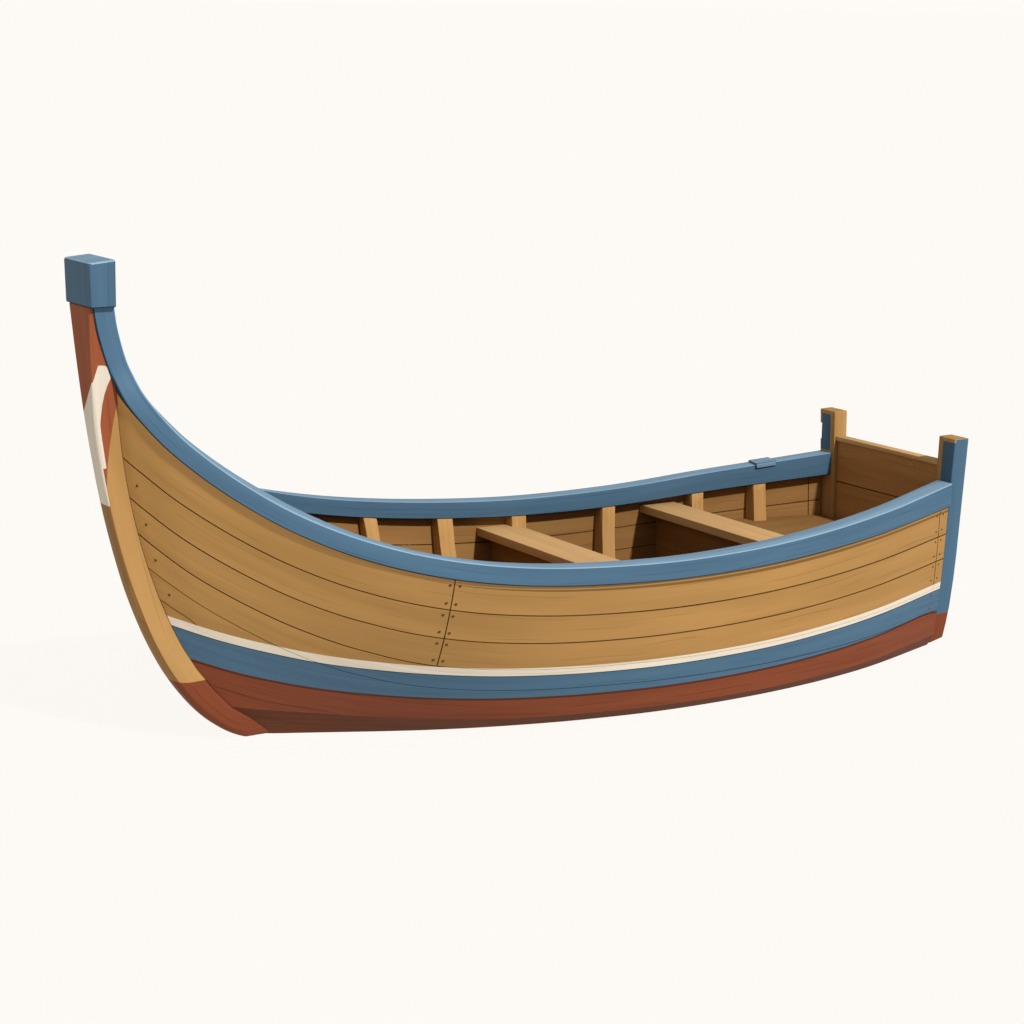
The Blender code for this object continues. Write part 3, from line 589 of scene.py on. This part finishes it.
def build_stem():
    shape = tube(stem_rings())
    around = BVHTree.FromBMesh(shape)
    soften(shape, sharp_edges(shape, 50), 0.003, 2)
    made = piece("stem_timber", shape, [STEM_COAT], ["stem"])
    co = np.array([v.co for v in made.data.vertices])
    x, y, z = co[:, 0] - STERN, np.abs(co[:, 1]), co[:, 2]
    nose, bevel, half = [np.interp(-z, -STEM_CURVE[:, 1], STEM_CURVE[:, c]) for c in (0, 4, 5)]
    ahead = x - (nose - bevel * 0.95 - 0.002)
    on_side = depth_within(FLASH_SIDE, x, z)
    on_front = FLASH_FRONT["z"] - FLASH_FRONT["slope"] * (half - co[:, 1]) - z
    painted_low = z - STEM_PAINT_LOW
    mark(made.data, "in_front", ahead)
    mark(made.data, "rust", np.minimum(x - smooth_table(STEM_RED_AFT)(z), painted_low))
    mark(made.data, "flash", np.minimum(np.where(ahead > 0, on_front, on_side), painted_low))
    mark(made.data, "above_red", z - STEM_BOOT["z"] - STEM_BOOT["falls"] * np.maximum(x - 4.33, 0.0))
    return around


STEM_TREE = build_stem()


def stem_side(point):
    """Half width of the stem beside a point of the hull, or None ahead of it or behind it."""
    hit = STEM_TREE.ray_cast(Vector((point[0] + STERN, 1.0, point[2])), Vector((0, -1, 0)))[0]
    return hit.y if hit else None


# Planking

def place_at_stem(share_at):
    """Where the side runs into the stem, for a line of the planking."""
    for place in np.arange(9.0, 12.0, 0.01):
        point = side_point(place, share_at(place))
        half = stem_side(point)
        if half is not None and point[1] <= half + 0.001:
            return place
    return 12.0


def place_at_x(share_at, x):
    """Where a line of the planking passes a station, which may depend on height."""
    low, high = 0.0, 12.0
    for _ in range(30):
        middle = (low + high) / 2
        point = side_point(middle, share_at(middle))
        low, high = (middle, high) if point[0] < x(point[2]) else (low, middle)
    return (low + high) / 2


def stern_edge(z):
    return PLANK_AFT


def stern_butt(z):
    return 0.166 + (z - 0.381) * 0.010


def middle_butt(z):
    return 3.361 + (z - 0.402) * 0.105


OUTSIDE = []


def build_strake(number, side):
    """One strake: its planks meet at butts, and their edges are eased so that the seams show."""
    shape = bmesh.new()
    grain = shape.loops.layers.uv.new("grain")
    place_of = shape.verts.layers.float.new("place")
    across_of = shape.verts.layers.float.new("across")

    def share_for(t):
        return lambda place: (lambda edges: edges[number] + (edges[number + 1] - edges[number]) * t)(
            seam_shares(place))

    sections = [(stern_edge, None, 128)]
    if number < 3:
        sections = [(stern_edge, stern_butt, 2), (stern_butt, middle_butt, 72), (middle_butt, None, 56)]
    rows = 6 if number < 5 else 4
    faces = set()
    for first, last, columns in sections:
        verts = bmesh.ops.create_grid(shape, x_segments=columns, y_segments=rows, size=0.5)["verts"]
        ends = {}
        for vert in verts:
            s, t = vert.co.x + 0.5, vert.co.y + 0.5
            key = round(t, 4)
            if key not in ends:
                line = share_for(key)
                gap = BUTT_GAP if first is not stern_edge else 0.0
                low = place_at_x(line, lambda z: first(z) + gap)
                high = place_at_stem(line) if last is None else place_at_x(line, lambda z: last(z) - BUTT_GAP)
                ends[key] = (low, high)
            low, high = ends[key]
            vert[place_of] = low + (high - low) * s
            vert[across_of] = key
        faces.update(f for v in verts for f in v.link_faces)
    inner = bmesh.ops.extrude_face_region(shape, geom=list(faces))["geom"]
    inside = {v for v in inner if isinstance(v, bmesh.types.BMVert)}
    for vert in shape.verts:
        place, t = vert[place_of], vert[across_of]
        edges = seam_shares(place)
        top, bottom = edges[number], edges[number + 1]
        share = top if abs(t) < 1e-6 else bottom if abs(t - 1) < 1e-6 else top + (bottom - top) * t
        point = inner_point(place, share, PLANK) if vert in inside else side_point(place, share)
        drop = side_point(place, bottom) - side_point(place, top)
        length = np.linalg.norm(drop)
        point = point + (drop / length * GAP / 2 * (1 - 2 * t) if length else 0.0)
        vert.co = (point[0] + STERN, point[1], point[2])
    for face in shape.faces:
        within = sum(v in inside for v in face.verts)
        face.material_index = 0 if within == 0 else 1 if within == len(face.verts) else 2
    bmesh.ops.recalc_face_normals(shape, faces=list(shape.faces))
    stops = np.linspace(0, 12, 97)
    run = np.array([side_point(p, share_for(0.5)(p)) for p in stops])
    lengths = np.concatenate(([0], np.cumsum(np.linalg.norm(np.diff(run, axis=0), axis=1))))
    widths = [np.linalg.norm(side_point(p, share_for(0.0)(p)) - side_point(p, share_for(1.0)(p))) for p in stops]
    sharp = sharp_edges(shape, 40)
    butts = [e for e in sharp if abs(e.verts[0][across_of] - e.verts[1][across_of]) > 1e-6]
    middle = [e for e in butts if 0.05 < e.verts[0][place_of] < 9.0]
    ends = [e for e in butts if e not in middle]
    soften(shape, middle, BUTT_EASE, 1, 2)
    soften(shape, ends, END_EASE, 1, 2)
    soften(shape, sharp_edges(shape, 50), SEAM_EASE, 1, 2)
    for face in shape.faces:
        for loop in face.loops:
            place, t = loop.vert[place_of], loop.vert[across_of]
            u = np.interp(place, stops, lengths)
            v = (t - 0.5) * np.interp(place, stops, widths)
            loop[grain].uv = (u + 0.7 * number, v + 1.3 * number + (0.0 if side == "port" else 11.0))
    if side == "starboard":
        mirror_y(shape)
    else:
        OUTSIDE.append(BVHTree.FromBMesh(shape))
    name = f"strake_{number + 1}" if number < 5 else "bilge_strake"
    coat = HULL if number < 5 else BOTTOM_COAT
    made = piece(f"{name}_{side}_planks", shape, [coat, LARCH_INSIDE, SEAM],
                 [f"{name}_{side}"])
    mark_hull_paint(made)
    # Painted shadow under the rail: marks the strip from 13 to 31 mm below the sheer
    if number == 0:
        across, place = [np.array([d.value for d in made.data.attributes[n].data]) for n in ("across", "place")]
        below = across * np.interp(place, stops, widths)
        mark(made.data, "painted_rail_shadow", np.minimum(below - RAIL_SHADE[0], RAIL_SHADE[1] - below))


for number in range(6):
    for side in ("port", "starboard"):
        build_strake(number, side)


def on_side(x, z):
    """Point of the port side at a station and height, and its direction outwards."""
    found = []
    for tree in OUTSIDE + [STEM_TREE]:
        spot, normal = tree.ray_cast(Vector((x + STERN, 2.0, z)), Vector((0, -1, 0)))[:2]
        if spot:
            found.append((spot.y, spot, normal))
    return max(found)[1:]


def build_nails(side):
    shape = bmesh.new()
    for x, z in BOW_NAILS + MIDDLE_NAILS + STERN_NAILS:
        spot, normal = on_side(x, z)
        turned = Matrix.Translation(spot) @ normal.to_track_quat("Z", "Y").to_matrix().to_4x4()
        radius = NAIL_RADIUS["bow" if x > 4 else "middle" if x > 2 else "stern"]
        sized = Matrix.Diagonal((radius, radius, NAIL_RISE, 1.0))
        bmesh.ops.create_uvsphere(shape, u_segments=12, v_segments=6, radius=1.0, matrix=turned @ sized)
    if side == "starboard":
        mirror_y(shape)
    piece(f"nails_{side}", shape, [IRON], crease=60.0)


def build_bow_seams(side):
    """Low strips of pitch over the seams where narrow planks run out at the bow."""
    for number, points in enumerate(BOW_SEAMS, 1):
        steps = 12 * (len(points) - 1)
        spots = [on_side(*along(points, i * (len(points) - 1) / steps)) for i in range(steps + 1)]
        rows = []
        for i, (spot, normal) in enumerate(spots):
            run = spots[min(i + 1, steps)][0] - spots[max(i - 1, 0)][0]
            across = normal.cross(run).normalized() * SEAM_EASE * min(1.0, 0.25 + min(i, steps - i) / 4)
            base = spot - Vector((STERN, 0, 0))
            rows.append([np.array(base + p) for p in (-across - normal * 0.002, -across * 0.6 + normal * 0.0007,
                                                      across * 0.6 + normal * 0.0007, across - normal * 0.002)])
        shape = tube(rows)
        if side == "starboard":
            mirror_y(shape)
        mark_hull_paint(piece(f"bow_seam_{number}_{side}", shape, [SEAM]))


for side in ("port", "starboard"):
    build_nails(side)
    build_bow_seams(side)


# Rails

def rail_rings():
    rows = [row[0:3] for row in LINES[:12]] + list(RAIL_RISE)
    last = len(rows) - 1
    rings = []
    for place in np.linspace(0, last, 10 * last + 1):
        ahead, behind = along(rows, min(place + 0.1, last)), along(rows, max(place - 0.1, 0))
        run = (ahead - behind) / np.linalg.norm(ahead - behind)
        outward = np.array((-run[1], run[0], 0.0))
        outward /= np.linalg.norm(outward)
        straight = np.interp(place, RAIL_STRAIGHTENS, (0.0, 1.0))
        outward = outward * (1 - straight) + np.array((0.0, 1.0, 0.0)) * straight
        outward /= np.linalg.norm(outward)
        upward = np.cross(run, outward)
        upward /= np.linalg.norm(upward)
        height, width, proud = at_station(RAIL_SIZES, place)
        outer = along(rows, place) + outward * proud + upward * GAP
        inner = outer - outward * width
        if inner[1] < GAP:
            inner = outer - outward * (outer[1] - GAP) / outward[1]
        rise = upward * (height - GAP)
        top_inner = inner + rise
        top_inner[1] = max(top_inner[1], GAP)
        rings.append([outer, outer + rise, top_inner, inner])
    rings[-1] = [np.array((p[0], p[1], HEAD_LOW - GAP)) for p in rings[-1]]
    return rings


def long_edges(shape, number):
    """The edges that run the bar's whole length at one corner of its ring."""
    corner = shape.verts.layers.int["corner"]
    return [e for e in sharp_edges(shape, 40) if all(v[corner] == number for v in e.verts)]


def build_rail(side):
    # Faces by side: outer coat, top in painted light, inner face a lit copy, underside in painted shade
    shape = tube(rail_rings(), sides=(0, 1, 4, 3))
    everything = list(shape.verts) + list(shape.edges) + list(shape.faces)
    bmesh.ops.bisect_plane(shape, geom=everything, plane_co=(PLANK_AFT + STERN, 0, 0), plane_no=(1, 0, 0),
                           clear_inner=True)
    bmesh.ops.holes_fill(shape, edges=[e for e in shape.edges if e.is_boundary], sides=0)
    # Painted highlight on the upper edges, painted shade on the lower edges
    soften(shape, long_edges(shape, 1), 0.0050, 2, 2)
    soften(shape, long_edges(shape, 2), 0.0050, 2, 2)
    soften(shape, long_edges(shape, 0), 0.0050, 1, 3)
    soften(shape, long_edges(shape, 3), 0.0050, 1, 3)
    if side == "starboard":
        mirror_y(shape)
    piece(f"gunwale_{side}_rail", shape, [BLUE_COAT, BLUE_TOP, BLUE_HIGHLIGHT, BLUE_SHADE_LINE, BLUE_INSIDE],
          [f"gunwale_{side}"])


for side in ("port", "starboard"):
    build_rail(side)


# Boards cut from the solids

def lay_grain(shape, axis, shift):
    """Grain map of a board: along its axis, and across in each face's own plane."""
    grain = shape.loops.layers.uv.get("grain") or shape.loops.layers.uv.new("grain")
    for face in shape.faces:
        line = axis
        if axis == "frame":
            line = 1 if face.calc_center_median().z < 0.12 else 2
        one, two = [a for a in range(3) if a != line]
        n = face.normal
        side_axis = one if abs(n[one]) < abs(n[two]) else two
        for loop in face.loops:
            co = loop.vert.co
            if abs(n[line]) > 0.8:
                loop[grain].uv = (co[one] * 0.3 + shift, co[two] + shift)
            else:
                loop[grain].uv = (co[line] + shift, co[side_axis] + shift * 1.7)


def from_solid(node):
    """The solid's own shape, joined into whole faces."""
    shape = bmesh.new()
    shape.from_mesh(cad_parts[node].data)
    bmesh.ops.remove_doubles(shape, verts=list(shape.verts), dist=2e-5)
    bmesh.ops.dissolve_limit(shape, angle_limit=math.radians(0.6), verts=list(shape.verts),
                             edges=list(shape.edges))
    for face in shape.faces:
        face.material_index = 0
    return shape


def build_board(node, axis, materials, width=0.004, steps=2, number=0, edge=None):
    shape = from_solid(node)
    soften(shape, sharp_edges(shape, 40), width, steps, edge)
    lay_grain(shape, axis, 0.9 + 0.77 * number)
    return piece(f"{node}_timber", shape, materials, [node])


INSIDE = [LARCH_INSIDE, SEAM]
STERN_BOARD = [LARCH_STERN, SEAM]
BOARDS = [(f"frame_{n}", "frame", [OAK], "frame_timber", 0.005, None) for n in range(1, 8)]
BOARDS += [(f"thwart_{n}", 1, [PINE], "seat_timber", 0.004, None) for n in (1, 2)]
BOARDS += [(f"panel_{n}", 1, INSIDE, "inside_timber", 0.002, 1) for n in (1, 2)]
BOARDS += [(f"floorboard_{n}", 0, INSIDE, "inside_timber", 0.002, 1) for n in (1, 2, 3)]
BOARDS += [(f"platform_board_{n}", 0, [LARCH_FLOOR, SEAM], "inside_timber", 0.002, 1) for n in ("port", "middle", "starboard")]
BOARDS += [("transom_cap", 1, [PINE], "seat_timber", 0.004, None), ("breasthook", 1, [PINE], "seat_timber", 0.004, None),
           ("platform_beam", 1, INSIDE, "inside_timber", 0.003, None),
           ("rail_patch", 0, [BLUE_TOP, BLUE_SHADE_LINE], "rail_paint", 0.002, 1)]
BOARDS += [(f"bottom_plank_{n}", 0, [BOTTOM_COAT], "bottom_paint", 0.003, None) for n in ("port", "middle", "starboard")]
for number, (node, axis, materials, slot, width, edge) in enumerate(BOARDS):
    build_board(node, axis, materials, width, 2, number, edge)


def build_transom_board(number):
    """A board of the transom: paler inside as painted light, and outside the same bands of paint as the planking."""
    node = f"transom_board_{number}"
    shape = from_solid(node)
    soften(shape, sharp_edges(shape, 40), 0.003, 1, 1)
    for face in shape.faces:
        if face.normal.x < -0.9:
            face.material_index = 2
    lay_grain(shape, 1, 20.0 + number)
    mark_hull_paint(piece(f"{node}_timber", shape, STERN_BOARD + [HULL], [node]))


for number in (1, 2, 3):
    build_transom_board(number)


# Stern posts and head

def split(shape, point, direction):
    everything = list(shape.verts) + list(shape.edges) + list(shape.faces)
    bmesh.ops.bisect_plane(shape, geom=everything, plane_co=point, plane_no=direction)


def build_post(side, flip):
    """Blue post with a bare top and inner cheek, a bare border round its forward face and a red foot. Its forward
    outboard edge above the rail gets a painted highlight, and the inner cheek a lit copy of the oak.
    """
    shape = from_solid(f"stern_post_{side}")
    soften(shape, sharp_edges(shape, 40), 0.006, 3)
    low, high = POST_INSIDE
    lean = (high - low) / POST_TOP
    wide, tall, rim = POST_BORDER["side"], POST_BORDER["top"], POST_BORDER["rim"]
    rim_at, rim_lean = 0.427, 0.091
    split(shape, Vector((0, flip * (low + wide), 0)), Vector((0, flip, -lean)))
    split(shape, (0, 0, POST_TOP - tall), (0, 0, 1))
    split(shape, (STERN, 0, POST_RED["z"]), (POST_RED["falls"], 0, 1))
    if side == "starboard":
        split(shape, (0, flip * rim_at, 0), Vector((0, flip, -rim_lean)))
        split(shape, (0, 0, POST_RAIL), (0, 0, 1))
    for face in shape.faces:
        centre, normal = face.calc_center_median(), face.normal
        across = centre.y * flip - low - lean * centre.z
        outer = centre.y * flip - rim_at - rim_lean * centre.z
        bare = across < wide and normal.x > -0.5 or normal.z > 0.3
        if normal.x > 0.6:
            bare = bare or centre.z > POST_TOP - tall
            if side == "starboard":
                bare = bare or centre.z < POST_RAIL or (outer > 0 and centre.z > NOTCH_HIGH)
        elif side == "starboard":
            bare = bare or (centre.z > NOTCH_HIGH and normal.y * flip > 0.6)
        # Painted highlight: the forward outboard edge above the rail takes the pale blue
        highlight = normal.x > 0.3 and normal.y * flip > 0.3 and not bare and centre.z > POST_RAIL
        red = centre.z < POST_RED["z"] - (centre.x - STERN) * POST_RED["falls"]
        wood = 4 if normal.y * flip < -0.6 else 1
        face.material_index = 3 if red else wood if bare else 2 if highlight else 0
    lay_grain(shape, 2, 3.4 + flip)
    piece(f"stern_post_{side}_timber", shape, [BLUE_COAT, POST_OAK, BLUE_HIGHLIGHT, RED_COAT, POST_CHEEK],
          [f"stern_post_{side}"])


build_post("port", 1)
build_post("starboard", -1)


def build_head():
    """Rounded block with a top that falls forward. By the way each face turns it gets painted light on top, a painted
    highlight on the upper edges, painted shade underneath and a shaded copy of the blue in front.
    """
    shape = bmesh.new()
    bmesh.ops.create_cube(shape, size=1.0)
    for vert in shape.verts:
        top, fore = vert.co.z > 0, vert.co.x > 0
        z = HEAD["high"] - (HEAD["falls"] if fore else 0.0) if top else HEAD_LOW
        x = HEAD["front"] - (0.0 if top else HEAD["lean"]) if fore else HEAD["aft"]
        vert.co = (x + STERN, HEAD["half"] * (1 if vert.co.y > 0 else -1), z)
    upright = [e for e in shape.edges if abs(e.verts[0].co.z - e.verts[1].co.z) > 0.1]
    soften(shape, upright, HEAD["side"], 4)
    top = [e for e in sharp_edges(shape, 60) if all(v.co.z > HEAD_LOW + 0.1 for v in e.verts)]
    soften(shape, top, HEAD["top"], 5)
    soften(shape, [e for e in sharp_edges(shape, 60) if all(v.co.z < HEAD_LOW + 0.01 for v in e.verts)], 0.006, 2)
    for face in shape.faces:
        x, y, z = (abs(c) for c in face.normal)
        if face.normal.z > 0.88:
            face.material_index = 1
        elif face.normal.z > 0.45 or (z < 0.2 and abs(x - y) < 0.25):
            face.material_index = 2
        elif face.normal.z < -0.3:
            face.material_index = 3
        elif face.normal.x > 0.7:
            face.material_index = 4
    lay_grain(shape, 2, 4.4)
    made = piece("stem_head_block", shape, [HEAD_COAT, BLUE_TOP, BLUE_HIGHLIGHT, BLUE_SHADE_LINE, HEAD_FACE],
                 ["stem_head"], 40.0)
    made.modifiers.new("even shading", "WEIGHTED_NORMAL").keep_sharp = True


build_head()


# Stage: floor, light and camera

BACKDROP = linear("#FEFBF6")
FLOOR_REACH = 1500.0
FLOOR_GLOW = 0.957
SKY = 0.42
SUN = 3.60
SUN_SIDE = (-0.10, 0.74, 0.66)


def build_floor():
    """Pale paper sweep, lit from below like a light table so that shadows stay faint."""
    shape = bmesh.new()
    bmesh.ops.create_grid(shape, x_segments=1, y_segments=1, size=FLOOR_REACH)
    mesh = bpy.data.meshes.new("floor")
    shape.to_mesh(mesh)
    shape.free()
    floor = bpy.data.objects.new("floor", mesh)
    bpy.context.scene.collection.objects.link(floor)
    material = bpy.data.materials.new("pale paper")
    material.use_nodes = True
    shader = material.node_tree.nodes["Principled BSDF"]
    shader.inputs["Base Color"].default_value = tuple(c * 0.03 for c in BACKDROP[:3]) + (1.0,)
    shader.inputs["Roughness"].default_value = 1.0
    shader.inputs["Specular IOR Level"].default_value = 0.0
    shader.inputs["Emission Color"].default_value = BACKDROP
    shader.inputs["Emission Strength"].default_value = FLOOR_GLOW
    mesh.materials.append(material)


def build_light():
    """A white backdrop that lights the boat softly, and one lamp that gives crisp shadows under the rails."""
    world = bpy.data.worlds.new("studio")
    bpy.context.scene.world = world
    world.use_nodes = True
    tree = world.node_tree
    seen = add(tree, "ShaderNodeLightPath", {})
    strength = add(tree, "ShaderNodeMapRange", {"Value": seen, "To Min": SKY, "To Max": 1.0})
    sky = tree.nodes["Background"]
    sky.inputs[0].default_value = BACKDROP
    tree.links.new(strength, sky.inputs[1])
    key = bpy.data.lights.new("key", "SUN")
    key.energy = SUN
    key.angle = math.radians(2.5)
    lamp = bpy.data.objects.new("key", key)
    bpy.context.scene.collection.objects.link(lamp)
    lamp.rotation_euler = Vector(SUN_SIDE).to_track_quat("Z", "Y").to_euler()


def build_camera():
    turn, down, roll = math.radians(33.53), math.radians(12.21), math.radians(1.00)
    forward = Vector((-math.sin(turn) * math.cos(down), -math.cos(turn) * math.cos(down), -math.sin(down)))
    right = Vector((-math.cos(turn), math.sin(turn), 0.0))
    up = right.cross(forward)
    level_right = right * math.cos(roll) + up * math.sin(roll)
    level_up = up * math.cos(roll) - right * math.sin(roll)
    data = bpy.data.cameras.new("camera")
    data.sensor_width = 36.0
    data.lens = 2364 / 1024 * data.sensor_width
    data.clip_end = 4.0 * FLOOR_REACH
    camera = bpy.data.objects.new("camera", data)
    bpy.context.scene.collection.objects.link(camera)
    turned = Matrix((level_right, level_up, -forward)).transposed().to_4x4()
    camera.matrix_world = Matrix.Translation((6.442, 9.524, 3.386)) @ turned
    bpy.context.scene.camera = camera


build_floor()
build_light()
build_camera()
bpy.context.scene.view_settings.view_transform = "Standard"
